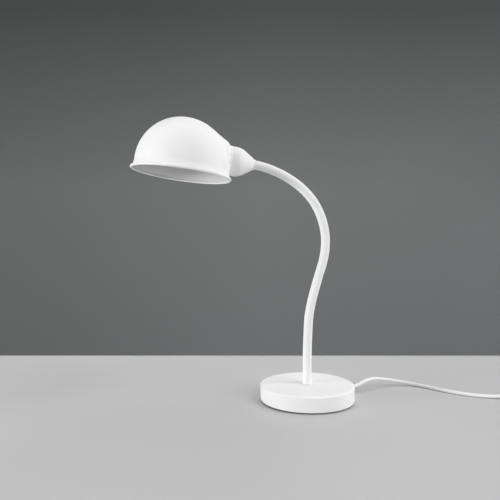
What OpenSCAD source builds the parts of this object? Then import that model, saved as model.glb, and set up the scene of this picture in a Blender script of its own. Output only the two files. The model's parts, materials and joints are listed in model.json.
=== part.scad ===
// Gooseneck desk lamp: a round weighted base, a flexible neck that keeps any bend,
// a dome shade on an E27 lamp holder, and a mains lead with an in-line switch.
// Millimetres. Z is up, the base's axis passes through the origin and z = 0 is the
// table. The shade hangs over the -X side and the lead leaves the base at cord_az.

/* [Base] */

// Diameter of the base
base_d = 140; // [134:1:160]
// Height of the steel shell over the foam pad
shell_h = 22; // [21:0.5:25]
// Radius of the shell's upper edge
base_edge = 2.5; // [1.5:0.5:4]
// Thickness of the foam pad
pad_t = 2; // [1.5:0.5:3]

/* [Neck] */

// Outside diameter of the neck
neck_d = 13.2; // [12.8:0.2:14.4]
// Length of the lowest, straight stretch
foot_l = 28.25; // [26:0.25:36]
// Length of each of the other stretches
link_l = 30.25; // [28:0.25:34]

/* [Cup] */

// Outside diameter of the cup behind the shade
cup_d = 42.6; // [42:0.2:44]
// Length of the cup from its back to the shade
cup_l = 33; // [31:0.5:36]
// Half angle of the cup's cone
cup_cone = 32.6; // [31:0.2:34]

/* [Shade] */

// Outside diameter of the shade's ball
shade_d = 134.4; // [128:0.4:140]
// How far the lamp's axis lies over the ball's centre
neck_rise = 17; // [14:0.5:19]
// Height of the flare under the ball
flare_h = 11.5; // [9:0.5:14]
// How far the flare turns outward
flare_out = 3.6; // [2.5:0.1:5]
// Diameter of the rolled bead along the rim
bead_d = 3.2; // [2.4:0.2:4]

/* [Cord] */

// Outside diameter of the mains cord
cord_d = 5.4; // [5:0.1:5.6]
// Direction in which the cord leaves the base, from +X towards +Y
cord_az = 15; // [5:1:25]

/* [Hidden] */

$fn = 96;

// Fits: a shaft in its hole, two pieces that pass each other, a loose hole.
fit = 0.05;
pass_gap = 0.3;

// How far a straight side lies inside the arc that it runs into, so that the two
// cross and never just touch.
lap = 0.02;

// Base, from the table up.
base_r = base_d / 2;
shell_t = 1.2;
base_top = pad_t + shell_h;
foot_z = base_top;
plate_t = 1.5;
plate_top = pad_t + plate_t;
weight_r = base_r - 2.2;
weight_top = base_top - shell_t;
weight_chamfer = 2;
boss_turns = [75, 195, 315];
boss_at = base_r - 18;
boss_r = 4;
m3_r = 1.45;
plate_screw_l = 8;

// Threaded tube ends: M10 x 1, bored for the wires.
thread_r = 4.95;
wire_r = 3;
ferrule_body = 16;
ferrule_thread = 13.5;
recess_top = base_top - 7.2;
recess_r = 14;
washer_t = 1.2;
nut_t = 4;
nut_af = 14;

// Cord inside the base.
cord_r = cord_d / 2;
cord_z = pad_t + 7;
cord_hole = cord_r + fit;
weight_z = cord_z + 0.3;
relief_l = 18;
relief_end = base_r + relief_l;
clamp_at = base_r - 24;
clamp_l = 12;
clamp_w = 24;
clamp_screw_at = 8;

// Neck: a chain of stretches, each bent by so many degrees towards -X.
neck_r = neck_d / 2;
sleeve_t = 1;
hose_r = neck_r - sleeve_t - fit;
seat_r = neck_r + pass_gap;
ball_step = 0.1;
neck_bends = [0, -2, -1, -10, -4, -1, 14, 17, 16, 18, 13, 10, 13];
last = len(neck_bends) - 1;

// Head, along the lamp's axis from the back of the cup.
cup_r = cup_d / 2;
cup_t = 0.9;
cup_back = 1.2;
cup_nose = neck_r + 2.1;
cup_round_z = cup_l - 6;
cup_over = cup_nose + tan(cup_cone) * cup_round_z - cup_r;
cup_round = cup_over * cos(cup_cone) / (1 - cos(cup_cone));
cup_collar = 3;
head_body = 8;
cap_top = cup_l - 13;
cap_t = 2;
holder_r = 19;
holder_shoulder = 20.1;
holder_thread = 18.8;
holder_bore = 17;
holder_end = cup_l + 18;
insert_r = 16.8;
insert_end = cup_l + 17;
insert_floor = cup_l - 6;
screw_out = 13.8;
screw_in = 13.35;
screw_end = cup_l + 15;
screw_low = insert_floor + 1.8;

// Shade, in its own frame: Z along the ball's axis, X towards the neck.
shade_r = shade_d / 2;
shade_t = 1;
shade_reach = shade_r + 0.8;
flare_r = (flare_h * flare_h + flare_out * flare_out) / (2 * flare_out);
flare_turn = asin(flare_h / flare_r);
boss_cone = 28.3;
boss_round = 7.3;
boss_slope = 79;
boss_low = shade_r / 2;
collar_r = cup_r + 0.5;
collar_l = 4.8;

// Cord outside the base. The routes are drawn for a base of that radius, and move
// with the base's rim.
drawn_base_r = 70;
cord_sides = 10;
ring_step = 12;
cord_out = base_r - drawn_base_r;
switch_l = 56;
switch_w = 24;
switch_h = 14.5;
switch_split = 7;
switch_wall = 1.6;
switch_at = [342, -61];
coil_at = [357, -123];
coil_in = 21.7;
coil_rows = 3.65;
coil_out = coil_in + coil_rows * 5.4;
coil_h = 10.8;
tie_w = 8;
tie_t = 0.8;
plug_at = [264, -164.4];
plug_h = 13.7;
plug_w = 35.3;
plug_l = 36;
pin_l = 19;
pin_r = 2;
pin_root_r = 1.6;
pin_root_l = 10;
pin_pitch = 18.6;
plug_relief = 22;
plug_core = 12;
lead_start = [relief_end * cos(cord_az) - cord_out * cos(15), relief_end * sin(cord_az) - cord_out * sin(15), cord_z];
lead_route = [
    lead_start,
    [90, 24.15, 9.2],
    [96, 26.3, 10.5],
    [104, 29.6, 12.7],
    [115, 34.2, 14.5],
    [127, 38.4, 14.7],
    [140, 41.5, 12.9],
    [154, 43.4, 10.1],
    [170, 43.2, 7],
    [185, 38.5, 4.7],
    [199, 28.5, 3.2],
    [210, 14.5, cord_r],
    [220, -2, cord_r],
    [232, -19, cord_r],
    [246, -34, cord_r],
    [262, -46, cord_r],
    [277, -54, cord_r + 0.3],
    [291, -58.5, 4.2],
    [304, -60.6, 6.2],
    [317, -61, 7]
];
link_route = [
    [367, -61, 7],
    [374, -61.4, 7],
    [384, -65.2, 6],
    [392, -73, 4.6],
    [397, -84, 3.2],
    [398.4, -97, cord_r],
    [398.4, -110, cord_r]
];
tail_route = [
    [355, -164.4, 8],
    [346, -164.4, 8],
    [337, -164.4, 7.7],
    [328, -164.4, 7.1],
    [320, -164.4, 6.85]
];

shell_paint = [0.9, 0.9, 0.9];
steel = [0.72, 0.73, 0.75];
brass = [0.83, 0.68, 0.38];
iron = [0.3, 0.3, 0.32];
white_plastic = [0.93, 0.93, 0.92];
ceramic = [0.95, 0.93, 0.88];
foam = [0.12, 0.12, 0.12];

// ---------------------------------------------------------------- base

// Half section of the base's outside, moved inward by inset.
module base_section(inset) {
    corner = max(base_edge - inset, 0.2);
    out = base_r - inset;
    top = base_top - inset;
    low = inset > 0 ? pad_t - 1 : pad_t;
    translate([0, low]) square([out, top - corner - low]);
    square_up = top - 2 * corner;
    translate([0, square_up]) square([out - corner, 2 * corner]);
    translate([out - corner, top - corner]) circle(r = corner);
}

module along_cord() {
    translate([0, 0, cord_z]) rotate([0, 0, cord_az]) rotate([0, 90, 0]) children();
}

module base_shell() {
    color(shell_paint) difference() {
        rotate_extrude() difference() {
            base_section(0);
            base_section(shell_t);
        }
        translate([0, 0, weight_top - 1]) cylinder(r = thread_r + 0.15, h = 4);
        along_cord() translate([0, 0, base_r - 5]) cylinder(r = 4.2, h = 10);
    }
}

module at_bosses() {
    for (turn = boss_turns) rotate([0, 0, turn]) translate([boss_at, 0, 0]) children();
}

module at_clamp_screws() {
    rotate([0, 0, cord_az]) for (side = [-1, 1]) translate([clamp_at, side * clamp_screw_at, 0]) children();
}

module base_weight() {
    color(iron) difference() {
        union() {
            translate([0, 0, weight_z]) cylinder(r = weight_r, h = weight_top - weight_chamfer - weight_z);
            translate([0, 0, weight_top - weight_chamfer])
                cylinder(r1 = weight_r, r2 = weight_r - weight_chamfer, h = weight_chamfer);
            at_bosses() translate([0, 0, plate_top]) cylinder(r = boss_r, h = weight_z - plate_top + 1);
        }
        translate([0, 0, weight_z - 1]) cylinder(r = thread_r + 0.25, h = 30);
        translate([0, 0, weight_z - 1]) cylinder(r = recess_r, h = recess_top - weight_z + 1);
        rotate([0, 0, cord_az]) translate([8, -cord_r - 0.5, weight_z - 1])
            cube([base_r, 2 * cord_r + 1, cord_r + 1.6]);
        along_cord() translate([0, 0, base_r - 5]) cylinder(r = 6, h = 10);
        at_bosses() translate([0, 0, plate_top - 1]) cylinder(r = m3_r + fit, h = plate_screw_l + 2);
        at_clamp_screws() translate([0, 0, weight_z - 1]) cylinder(r = m3_r + fit, h = 6.5);
    }
}

module base_plate() {
    color(steel) difference() {
        translate([0, 0, pad_t]) cylinder(r = base_r - shell_t - pass_gap, h = plate_t);
        at_bosses() translate([0, 0, pad_t]) cylinder(r1 = 3 + fit, r2 = m3_r + fit, h = plate_t);
    }
}

module base_pad() {
    color(foam) cylinder(r = base_r - 4, h = pad_t);
}

module plate_screws() {
    color(steel) at_bosses() {
        translate([0, 0, pad_t]) cylinder(r1 = 3, r2 = m3_r, h = plate_t);
        translate([0, 0, plate_top]) cylinder(r = m3_r, h = plate_screw_l);
    }
}

module foot_ferrule() {
    color(steel) difference() {
        union() {
            translate([0, 0, base_top]) cylinder(r = hose_r, h = ferrule_body);
            translate([0, 0, base_top - ferrule_thread]) cylinder(r = thread_r, h = ferrule_thread);
        }
        translate([0, 0, base_top - ferrule_thread - 1]) cylinder(r = wire_r, h = ferrule_body + ferrule_thread + 2);
    }
}

module ferrule_washer() {
    color(steel) translate([0, 0, recess_top - washer_t]) difference() {
        cylinder(r = 10, h = washer_t);
        translate([0, 0, -1]) cylinder(r = thread_r + 0.15, h = washer_t + 2);
    }
}

module ferrule_nut() {
    color(brass) translate([0, 0, recess_top - washer_t - nut_t]) difference() {
        cylinder(r = nut_af / sqrt(3), h = nut_t, $fn = 6);
        translate([0, 0, -1]) cylinder(r = thread_r + fit, h = nut_t + 2);
    }
}

module cord_bushing() {
    color(white_plastic) along_cord() difference() {
        union() {
            translate([0, 0, base_r - 3.5]) cylinder(r = 5.1, h = 2);
            translate([0, 0, base_r - 2]) cylinder(r = 4.1, h = 3);
            translate([0, 0, base_r + 0.05]) cylinder(r = 5.2, h = 1.75);
            translate([0, 0, base_r + 1.8]) cylinder(r1 = 4.8, r2 = cord_r + 0.7, h = relief_l - 1.8);
        }
        translate([0, 0, base_r - 5]) cylinder(r = cord_hole, h = 30);
    }
}

module inner_lead() {
    color(white_plastic) along_cord() translate([0, 0, 16]) cylinder(r = cord_r, h = relief_end - 16);
}

module cord_clamp() {
    color(white_plastic) difference() {
        rotate([0, 0, cord_az]) translate([clamp_at - clamp_l / 2, -clamp_w / 2, cord_z - 4])
            cube([clamp_l, clamp_w, weight_z - cord_z + 4]);
        along_cord() cylinder(r = cord_hole, h = base_r);
        at_clamp_screws() cylinder(r = m3_r + fit, h = 20);
    }
}

module clamp_screws() {
    color(steel) at_clamp_screws() {
        translate([0, 0, cord_z - 5.2]) cylinder(r = 2.8, h = 1.2);
        translate([0, 0, cord_z - 4]) cylinder(r = m3_r, h = 8.5);
    }
}

// ---------------------------------------------------------------- neck

// A vector of the neck's plane, turned by h degrees from +Z towards -X.
function turned(v, h) = [v[0] * cos(h) - v[1] * sin(h), v[0] * sin(h) + v[1] * cos(h)];

// Where an arc of length l and bend b ends, seen from its start.
function arc_step(l, b) = b == 0 ? [0, l] : l * 180 / (PI * b) * [cos(b) - 1, sin(b)];

function stretch_l(k) = k == 0 ? foot_l : link_l;
function heading(k) = k == 0 ? 0 : heading(k - 1) + neck_bends[k - 1];
function place(k) = k == 0
    ? [0, foot_z]
    : place(k - 1) + turned(arc_step(stretch_l(k - 1), neck_bends[k - 1]), heading(k - 1));

module at_stretch(k) {
    translate([place(k)[0], 0, place(k)[1]]) rotate([0, -heading(k), 0]) children();
}

module at_end_of(k) {
    step = arc_step(stretch_l(k), neck_bends[k]);
    translate([step[0], 0, step[1]]) rotate([0, -neck_bends[k], 0]) children();
}

// A round bar of radius r along stretch k: straight, or an arc of a ring.
module bent_bar(k, r) {
    bend = neck_bends[k];
    l = stretch_l(k);
    ring_r = bend == 0 ? 0 : l * 180 / (PI * abs(bend));
    if (bend == 0)
        cylinder(r = r, h = l);
    else
        mirror([bend < 0 ? 1 : 0, 0, 0]) translate([-ring_r, 0, 0]) rotate([90, 0, 0])
            rotate_extrude(angle = abs(bend)) translate([ring_r, 0]) circle(r = r);
}

// A stretch's solid with the ball that the next stretch turns on. The ball is a
// little thinner than the bar, so that their surfaces cross and never touch.
module stretch_solid(k, r) {
    bent_bar(k, r);
    if (k < last) at_end_of(k) sphere(r = r - ball_step);
}

// Everything that both layers of a stretch leave out: the ball of the stretch
// below, and the way of the wires through its own ball.
module stretch_cuts(k) {
    if (k > 0) sphere(r = seat_r);
    if (k < last) at_end_of(k) translate([0, 0, -1]) cylinder(r = wire_r - ball_step, h = neck_r + 2);
}

module sleeve(k) {
    color(shell_paint) at_stretch(k) difference() {
        stretch_solid(k, neck_r);
        stretch_solid(k, neck_r - sleeve_t);
        stretch_cuts(k);
    }
}

module hose(k) {
    color(steel) at_stretch(k) difference() {
        stretch_solid(k, hose_r);
        bent_bar(k, wire_r);
        stretch_cuts(k);
        if (k == 0) cylinder(r = neck_r, h = ferrule_body);
        if (k == last) at_end_of(k) translate([0, 0, -head_body]) cylinder(r = neck_r + 2, h = head_body + 2);
    }
}

// ---------------------------------------------------------------- head

// Origin on the cup's back, Z along the lamp's axis into the shade, X upward.
module at_head() {
    at_stretch(last) at_end_of(last) children();
}

module head_ferrule() {
    color(steel) at_head() difference() {
        union() {
            translate([0, 0, -head_body]) cylinder(r = hose_r - 0.35, h = head_body);
            cylinder(r = thread_r, h = 8);
        }
        translate([0, 0, -head_body - 1]) cylinder(r = wire_r, h = head_body + 10);
    }
}

// Half section of the cup's outside, moved inward by inset, between two heights.
module cup_section(inset, low, high) {
    round_r = cup_round - inset;
    tangent_z = cup_round_z - round_r * sin(cup_cone);
    tangent_r = cup_r - cup_round + round_r * cos(cup_cone);
    low_r = tangent_r - (tangent_z - low) * tan(cup_cone);
    cone_z = min(tangent_z, high);
    cone_r = low_r + (cone_z - low) * tan(cup_cone);
    rise = min(high, cup_round_z) - tangent_z + 2;
    polygon([[0, low], [low_r - lap, low], [cone_r - lap, cone_z], [0, cone_z]]);
    if (high > tangent_z) intersection() {
        translate([cup_r - cup_round, cup_round_z]) circle(r = round_r);
        translate([0, tangent_z - 2]) square([cup_r, rise]);
    }
    if (high > tangent_z && cup_r > cup_round) translate([0, tangent_z - 2]) square([cup_r - cup_round, rise]);
    if (high > cup_round_z) translate([0, cup_round_z]) square([cup_r - inset, high - cup_round_z]);
}

module lamp_cup() {
    color(shell_paint) at_head() {
        difference() {
            rotate_extrude() difference() {
                cup_section(0, 0, cup_l);
                cup_section(cup_t, cup_back, cup_l + 1);
            }
            translate([0, 0, -1]) cylinder(r = thread_r + 0.15, h = 4);
        }
        translate([0, 0, -cup_collar]) difference() {
            cylinder(r = neck_r + 1.1, h = cup_collar);
            translate([0, 0, -1]) cylinder(r = neck_r + 0.1, h = cup_collar + 1);
        }
    }
}

module holder_cap() {
    inset = cup_t + 0.6;
    color(white_plastic) at_head() difference() {
        union() {
            rotate_extrude() difference() {
                cup_section(inset, cup_back, cap_top);
                cup_section(inset + cap_t, cup_back + cap_t, cap_top + 1);
            }
            translate([0, 0, cup_back]) cylinder(r = 7.2, h = 6.8);
        }
        cylinder(r = thread_r + fit, h = cap_top);
    }
}

module holder_body() {
    color(white_plastic) at_head() rotate_extrude() polygon([
        [holder_bore - 1.5, cap_top],
        [holder_r, cap_top],
        [holder_r, cup_l - 3],
        [holder_shoulder, cup_l - 3],
        [holder_shoulder, cup_l],
        [holder_thread, cup_l],
        [holder_thread, holder_end],
        [holder_bore, holder_end],
        [holder_bore, cap_top + 2],
        [holder_bore - 1.5, cap_top + 2]
    ]);
}

module holder_insert() {
    color(ceramic) at_head() difference() {
        translate([0, 0, cap_top + 2]) cylinder(r = insert_r, h = insert_end - cap_top - 2);
        translate([0, 0, insert_floor]) cylinder(r = screw_out + fit, h = insert_end - insert_floor + 1);
        translate([0, 0, cap_top]) cylinder(r = 2.05, h = insert_floor - cap_top + 1);
    }
}

module screw_shell() {
    color(brass) at_head() difference() {
        translate([0, 0, insert_floor]) cylinder(r = screw_out, h = screw_end - insert_floor);
        translate([0, 0, insert_floor + 0.5]) cylinder(r1 = screw_in - 2, r2 = screw_in - 0.3, h = 1.5);
        translate([0, 0, screw_low]) cylinder(r = screw_in, h = screw_end - insert_floor);
        translate([0, 0, insert_floor - 1]) cylinder(r = 6, h = 3);
    }
}

module centre_contact() {
    color(brass) at_head() {
        translate([0, 0, cap_top + 1]) cylinder(r = 3.5, h = 1);
        translate([0, 0, cap_top + 2]) cylinder(r = 2, h = insert_floor - cap_top - 2);
        translate([0, 0, insert_floor]) cylinder(r1 = 4.2, r2 = 3, h = 1.6);
    }
}

module shade_ring() {
    color(white_plastic) at_head() translate([0, 0, cup_l + 1]) difference() {
        cylinder(r = collar_r - shade_t - pass_gap, h = 6);
        translate([0, 0, -1]) cylinder(r = holder_thread + fit, h = 8);
    }
}

// Half section of the shade: a quarter of the ball's shell over the flare.
module shade_section() {
    flare_x = shade_r + flare_r;
    bead_x = flare_x - (flare_r + shade_t / 2) * cos(flare_turn);
    bead_z = -(flare_r + shade_t / 2) * sin(flare_turn);
    far = 2 * flare_r;
    intersection() {
        difference() {
            circle(r = shade_r);
            circle(r = shade_r - shade_t);
        }
        square([shade_r, shade_r]);
    }
    intersection() {
        translate([flare_x, 0]) difference() {
            circle(r = flare_r + shade_t);
            circle(r = flare_r);
        }
        polygon([[flare_x, 0], [flare_x - far, 0], [flare_x - far * cos(flare_turn), -far * sin(flare_turn)]]);
    }
    translate([bead_x, bead_z]) circle(r = bead_d / 2);
}

// Half section of the room inside the shade.
module shade_room() {
    intersection() {
        circle(r = shade_r - shade_t);
        square([shade_r, shade_r]);
    }
    difference() {
        translate([0, -shade_r / 2]) square([shade_r + flare_out, shade_r / 2]);
        translate([shade_r + flare_r, 0]) circle(r = flare_r + shade_t);
    }
}

// Half section of the boss towards the neck, moved inward by inset: a cone, a
// rounded shoulder and a collar. First axis is the radius, second the reach.
module boss_section(inset, low, high) {
    round_r = boss_round - inset;
    round_at = [
        collar_r - boss_round * cos(boss_slope),
        shade_reach - collar_l - boss_round * sin(boss_slope)
    ];
    cone_end = round_at + round_r * [cos(boss_cone), sin(boss_cone)];
    low_r = cone_end[0] + (cone_end[1] - low) * tan(boss_cone);
    polygon([[0, low], [low_r - lap, low], cone_end - [lap, 0], [0, cone_end[1]]]);
    intersection() {
        translate(round_at) circle(r = round_r);
        translate([0, cone_end[1] - 2]) square([shade_r, boss_round]);
    }
    translate([0, cone_end[1]]) square([collar_r - inset, high - cone_end[1]]);
}

module along_boss() {
    translate([0, 0, neck_rise]) rotate([0, 90, 0]) rotate_extrude() children();
}

module shade() {
    color(shell_paint) at_head() translate([-neck_rise, 0, cup_l + shade_reach]) rotate([0, 90, 0]) difference() {
        union() {
            rotate([0, 0, 90]) rotate_extrude() shade_section();
            difference() {
                along_boss() boss_section(0, boss_low, shade_reach);
                rotate([0, 0, 90]) rotate_extrude() shade_room();
            }
        }
        along_boss() boss_section(shade_t, boss_low - 4, shade_reach - shade_t);
        translate([shade_reach - 3, 0, neck_rise]) rotate([0, 90, 0]) cylinder(r = holder_thread + pass_gap, h = 6);
    }
}

// ---------------------------------------------------------------- cord

module cord_side() {
    translate([cord_out * cos(15), cord_out * sin(15), 0]) children();
}

function unit(v) = v / norm(v);

// A point of the smooth curve through the route p, between its points i and i + 1.
function curve_point(p, i, t) =
    let (
        a = p[max(i - 1, 0)],
        b = p[i],
        c = p[i + 1],
        d = p[min(i + 2, len(p) - 1)]
    )
    b + t / 2 * (c - a) + t * t / 2 * (2 * a - 5 * b + 4 * c - d) + t * t * t / 2 * (3 * b - a - 3 * c + d);

// The centres of the cord's rings, about ring_step apart.
function centres(p) = concat(
    [
        for (i = [0 : len(p) - 2])
            let (parts = max(1, round(norm(p[i + 1] - p[i]) / ring_step)))
            for (j = [0 : parts - 1]) curve_point(p, i, j / parts)
    ],
    [p[len(p) - 1]]
);

function ring(at, ahead) =
    let (side = unit(cross(ahead, [0, 0, 1])), up = cross(side, ahead))
    [for (s = [0 : cord_sides - 1]) at + cord_r * (cos(360 * s / cord_sides) * side + sin(360 * s / cord_sides) * up)];

module swept_cord(route) {
    c = centres(route);
    n = len(c);
    m = cord_sides;
    points = [
        for (i = [0 : n - 1])
            each ring(c[i], unit(c[min(i + 1, n - 1)] - c[max(i - 1, 0)]))
    ];
    walls = [
        for (i = [0 : n - 2])
            for (s = [0 : m - 1])
                each [
                    [i * m + s, i * m + (s + 1) % m, (i + 1) * m + s],
                    [i * m + (s + 1) % m, (i + 1) * m + (s + 1) % m, (i + 1) * m + s]
                ]
    ];
    ends = [[for (s = [m - 1 : -1 : 0]) s], [for (s = [0 : m - 1]) (n - 1) * m + s]];
    polyhedron(points = points, faces = concat(walls, ends));
}

module cord_lead() {
    color(white_plastic) cord_side() swept_cord(lead_route);
}

module cord_link() {
    color(white_plastic) cord_side() swept_cord(link_route);
}

module cord_tail() {
    color(white_plastic) cord_side() swept_cord(tail_route);
}

// The outside of the coil: two layers of turns, one on the other.
module cord_coil() {
    corner = cord_r;
    low_r = coil_in - cord_r;
    wide = coil_out - coil_in + cord_d;
    color(white_plastic) cord_side() translate([coil_at[0], coil_at[1], 0]) rotate_extrude() translate([low_r, 0]) {
        translate([corner, 0]) square([wide - 2 * corner, coil_h]);
        translate([0, corner]) square([wide, coil_h - 2 * corner]);
        for (x = [corner, wide - corner]) for (z = [corner, coil_h - corner]) translate([x, z]) circle(r = corner);
    }
}

// A flat band drawn tight round the coil's two layers.
module coil_tie() {
    wide = coil_out - coil_in + cord_d;
    color(foam) cord_side() translate([coil_at[0], coil_at[1], 0]) rotate([90, 0, 0])
        translate([-coil_in - wide + cord_r - tie_t, 0, -tie_w / 2]) difference() {
            cube([wide + 2 * tie_t, coil_h + tie_t, tie_w]);
            translate([tie_t, tie_t, -1]) cube([wide, coil_h - tie_t, tie_w + 2]);
        }
}

// ---------------------------------------------------------------- switch

module at_switch() {
    cord_side() translate([switch_at[0], switch_at[1], 0]) children();
}

// Outline of the switch's case, moved inward by inset.
module switch_outline(inset) {
    corner = 7 - inset;
    l = switch_l - 2 * inset;
    w = switch_w - 2 * inset;
    square([l - 2 * corner, w], center = true);
    square([l, w - 2 * corner], center = true);
    for (x = [-1, 1]) for (y = [-1, 1])
        translate([x * (l / 2 - corner), y * (w / 2 - corner)]) circle(r = corner);
}

module at_switch_screws() {
    for (end = [-1, 1]) translate([end * 17, end * 7.2, 0]) children();
}

module switch_half(low, high, floor_z, ceiling_z) {
    difference() {
        translate([0, 0, low]) linear_extrude(height = high - low) switch_outline(0);
        difference() {
            translate([0, 0, floor_z]) linear_extrude(height = ceiling_z - floor_z) switch_outline(switch_wall);
            at_switch_screws() cylinder(r = 2.9, h = switch_h);
        }
        translate([-switch_l, 0, switch_split]) rotate([0, 90, 0]) cylinder(r = cord_hole, h = 2 * switch_l);
    }
}

module switch_lower() {
    color(white_plastic) at_switch() difference() {
        switch_half(0, switch_split, switch_wall, switch_split + 1);
        at_switch_screws() cylinder(r = 1.3, h = switch_h);
        at_switch_screws() cylinder(r = 2.35, h = 2);
    }
}

rocker_l = 14;
rocker_w = 8;
rocker_z = 12;
rocker_tilt = 7;
trunnion_r = 1;

module switch_upper() {
    color(white_plastic) at_switch() difference() {
        union() {
            switch_half(switch_split, switch_h, switch_split - 1, switch_h - switch_wall);
            for (side = [-1, 1])
                translate([-2.5, side > 0 ? rocker_w / 2 + 0.5 : -rocker_w / 2 - 2.5, rocker_z - 2.5])
                    cube([5, 2, switch_h - rocker_z + 1.5]);
        }
        translate([-rocker_l / 2 - 0.5, -rocker_w / 2 - 0.3, rocker_z - 2])
            cube([rocker_l + 1, rocker_w + 0.6, 10]);
        translate([0, 10, rocker_z]) rotate([90, 0, 0]) cylinder(r = trunnion_r + fit, h = 20);
        at_switch_screws() cylinder(r = 1, h = switch_h - 3);
    }
}

module rocker() {
    half = rocker_l / 2 - 0.2;
    color(white_plastic) at_switch() translate([0, 0, rocker_z]) rotate([0, -rocker_tilt, 0]) {
        rotate([90, 0, 0]) translate([0, 0, -rocker_w / 2]) linear_extrude(height = rocker_w)
            polygon([[-half, -1.6], [half, -1.6], [half, 3.2], [0, 2.6], [-half, 3.2]]);
        rotate([90, 0, 0]) translate([0, 0, -rocker_w / 2 - 2]) cylinder(r = trunnion_r, h = rocker_w + 4);
    }
}

module switch_screws() {
    color(steel) at_switch() at_switch_screws() {
        translate([0, 0, 0.6]) cylinder(r = 2.3, h = 1.4);
        translate([0, 0, 2]) cylinder(r = 0.95, h = 8.5);
    }
}

// ---------------------------------------------------------------- plug

// Origin in the middle of the pins' face, X towards the cord.
module at_plug() {
    cord_side() translate([plug_at[0], plug_at[1], plug_h / 2]) children();
}

module plug_body() {
    color(white_plastic) at_plug() difference() {
        union() {
            intersection() {
                translate([0, 0, -plug_h / 2]) linear_extrude(height = plug_h) polygon([
                    [0, -plug_w / 2],
                    [9, -plug_w / 2],
                    [22, -13],
                    [plug_l, -7.5],
                    [plug_l, 7.5],
                    [22, 13],
                    [9, plug_w / 2],
                    [0, plug_w / 2]
                ]);
                translate([0, plug_w, 0]) rotate([90, 0, 0]) linear_extrude(height = 2 * plug_w) polygon([
                    [0, -plug_h / 2],
                    [22, -plug_h / 2],
                    [plug_l, -5.5],
                    [plug_l, 5.5],
                    [22, plug_h / 2],
                    [0, plug_h / 2]
                ]);
            }
            translate([plug_l, 0, 0]) rotate([0, 90, 0]) cylinder(r1 = 5, r2 = cord_r + 0.7, h = plug_relief);
        }
        translate([plug_l - plug_core, 0, 0]) rotate([0, 90, 0])
            cylinder(r = cord_hole, h = plug_core + plug_relief + 1);
        for (side = [-1, 1]) translate([-1, side * pin_pitch / 2, 0]) rotate([0, 90, 0])
            cylinder(r = pin_root_r + fit, h = pin_root_l + 1);
    }
}

module plug_pins() {
    color(brass) at_plug() for (side = [-1, 1]) translate([0, side * pin_pitch / 2, 0]) {
        translate([-pin_l, 0, 0]) rotate([0, 90, 0]) cylinder(r1 = pin_r - 0.8, r2 = pin_r, h = 1);
        translate([1 - pin_l, 0, 0]) rotate([0, 90, 0]) cylinder(r = pin_r, h = pin_l - 1);
        translate([-1, 0, 0]) rotate([0, 90, 0]) cylinder(r = pin_root_r, h = pin_root_l + 1);
    }
}

// ---------------------------------------------------------------- nodes

function two(k) = str(k < 10 ? "0" : "", k);

base_shell();
base_weight();
base_plate();
base_pad();
plate_screws();
foot_ferrule();
ferrule_washer();
ferrule_nut();
cord_bushing();
inner_lead();
cord_clamp();
clamp_screws();
for (k = [0 : last]) hose(k);
for (k = [0 : last]) sleeve(k);
head_ferrule();
lamp_cup();
holder_cap();
holder_body();
holder_insert();
screw_shell();
centre_contact();
shade_ring();
shade();
cord_lead();
cord_link();
cord_tail();
cord_coil();
coil_tie();
switch_lower();
switch_upper();
rocker();
switch_screws();
plug_body();
plug_pins();
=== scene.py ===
# %% [markdown]
# # A gooseneck desk lamp
#
# A round weighted base carries a flexible neck in a white sleeve, and the neck
# carries a spun steel shade. A white cord leaves the base's back and ends in a plug.
# The lamp is dressed in the frame of its CAD model: metres, Z up, the base's axis at
# the origin and the table at z = 0, with the shade over the -X side. Each cell makes
# one thing and prints what it made.

import json
import math

import bmesh
import bpy
import numpy as np
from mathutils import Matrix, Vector


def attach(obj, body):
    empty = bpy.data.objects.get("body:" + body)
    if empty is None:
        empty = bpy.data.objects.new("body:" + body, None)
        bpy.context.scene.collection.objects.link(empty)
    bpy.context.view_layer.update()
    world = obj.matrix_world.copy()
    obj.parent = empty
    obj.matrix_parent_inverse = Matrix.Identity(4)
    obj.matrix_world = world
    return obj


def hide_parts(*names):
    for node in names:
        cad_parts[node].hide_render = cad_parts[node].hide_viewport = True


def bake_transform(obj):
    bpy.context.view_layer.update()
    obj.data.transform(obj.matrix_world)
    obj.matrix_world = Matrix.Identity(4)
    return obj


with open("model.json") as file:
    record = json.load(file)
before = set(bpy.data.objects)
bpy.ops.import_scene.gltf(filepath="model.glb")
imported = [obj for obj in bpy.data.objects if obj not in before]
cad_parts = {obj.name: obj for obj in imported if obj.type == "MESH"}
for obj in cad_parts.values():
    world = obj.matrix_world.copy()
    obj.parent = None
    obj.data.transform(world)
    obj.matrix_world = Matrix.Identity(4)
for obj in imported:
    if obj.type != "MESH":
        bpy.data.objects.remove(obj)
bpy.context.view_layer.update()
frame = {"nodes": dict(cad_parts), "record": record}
MM = 0.001

# %% [markdown]
# ## Sizes
#
# A real lamp is drawn from a few driving dimensions, and everything else follows
# from them. They could be measured on the loaded meshes instead, but the numbers
# themselves keep every formula below readable, so they are repeated here in
# millimetres. The neck is a chain of stretches, each bent by so many degrees
# towards -X.

# %% Sizes
BASE_R, PAD_T, BASE_TOP, SHELL_T, BASE_EDGE = 70, 2, 24, 1.2, 2.5
NECK_R, FOOT_L, LINK_L = 6.6, 28.25, 30.25
NECK_BENDS = [0, -2, -1, -10, -4, -1, 14, 17, 16, 18, 13, 10, 13]
LAST = len(NECK_BENDS) - 1
CUP_R, CUP_L, CUP_T, CUP_CONE = 21.3, 33, 0.9, math.radians(32.6)
SHADE_R, SHADE_T, NECK_RISE = 67.2, 1.0, 17
SHADE_REACH = SHADE_R + 0.8
FLARE_H, FLARE_OUT, BEAD_R, SHADE_ROLL = 11.5, 2.9, 1.95, math.radians(1.1)
CORD_R, CORD_Z, CORD_AZ = 2.7, 9, math.radians(15)
RELIEF_END = BASE_R + 18
SWITCH_AT, SWITCH_L, SWITCH_W, SWITCH_H, SWITCH_SPLIT = (342, -61), 56, 24, 14.5, 7
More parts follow.
